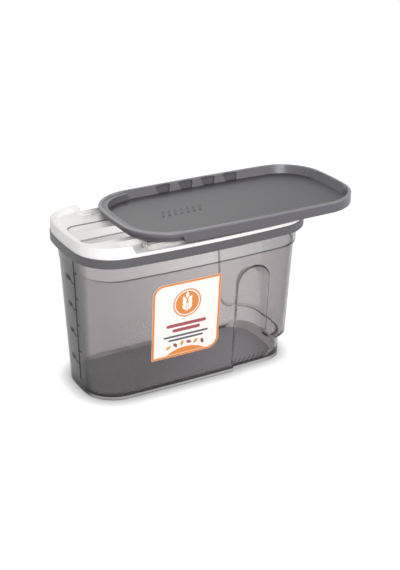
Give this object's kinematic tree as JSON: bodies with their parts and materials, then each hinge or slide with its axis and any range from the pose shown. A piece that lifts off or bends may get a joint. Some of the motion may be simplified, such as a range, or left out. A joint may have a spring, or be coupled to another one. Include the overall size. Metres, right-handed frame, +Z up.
{
  "type": "food storage container",
  "caption": "Tapered clear food keeper with grip niches, a collar, a pour frame with a spout, and a tray lid that slides open along guide bars.",
  "frame": {"origin": "middle of the tub's flat underside, on the floor it stands on", "axes": "+Z up, +X along the tub from the spout end to the grip end, +Y away from the labelled side; the lid is drawn fully open"},
  "size_m": [0.2338, 0.1024, 0.1308],
  "materials": {
    "tub_clear": "clear plastic with a light smoke tint",
    "label_print": "printed film, pale with an orange border",
    "collar_grey": "satin grey",
    "seal_rubber": "soft pale rubber",
    "frame_white": "satin white",
    "bar_white": "satin white",
    "pin_white": "satin white",
    "lid_smoke": "satin dark grey"
  },
  "bodies": {
    "tub": {"tub": "tub_clear", "label": "label_print"},
    "head": {"collar_ring": "collar_grey", "spout_frame": "frame_white", "rim_seal": "seal_rubber", "guide_bar_near": "bar_white", "guide_bar_far": "bar_white", "stop_pins": "pin_white"},
    "lid": {"lid_tray": "lid_smoke"}
  },
  "joints": [
    {"name": "head_lift", "type": "slide", "parent": "tub", "child": "head", "axis": [0, 0, 1], "range_m": [0, 0.03]},
    {"name": "lid_slide", "type": "slide", "parent": "head", "child": "lid", "axis": [1, 0, 0], "range_m": [-0.039, 0]}
  ]
}
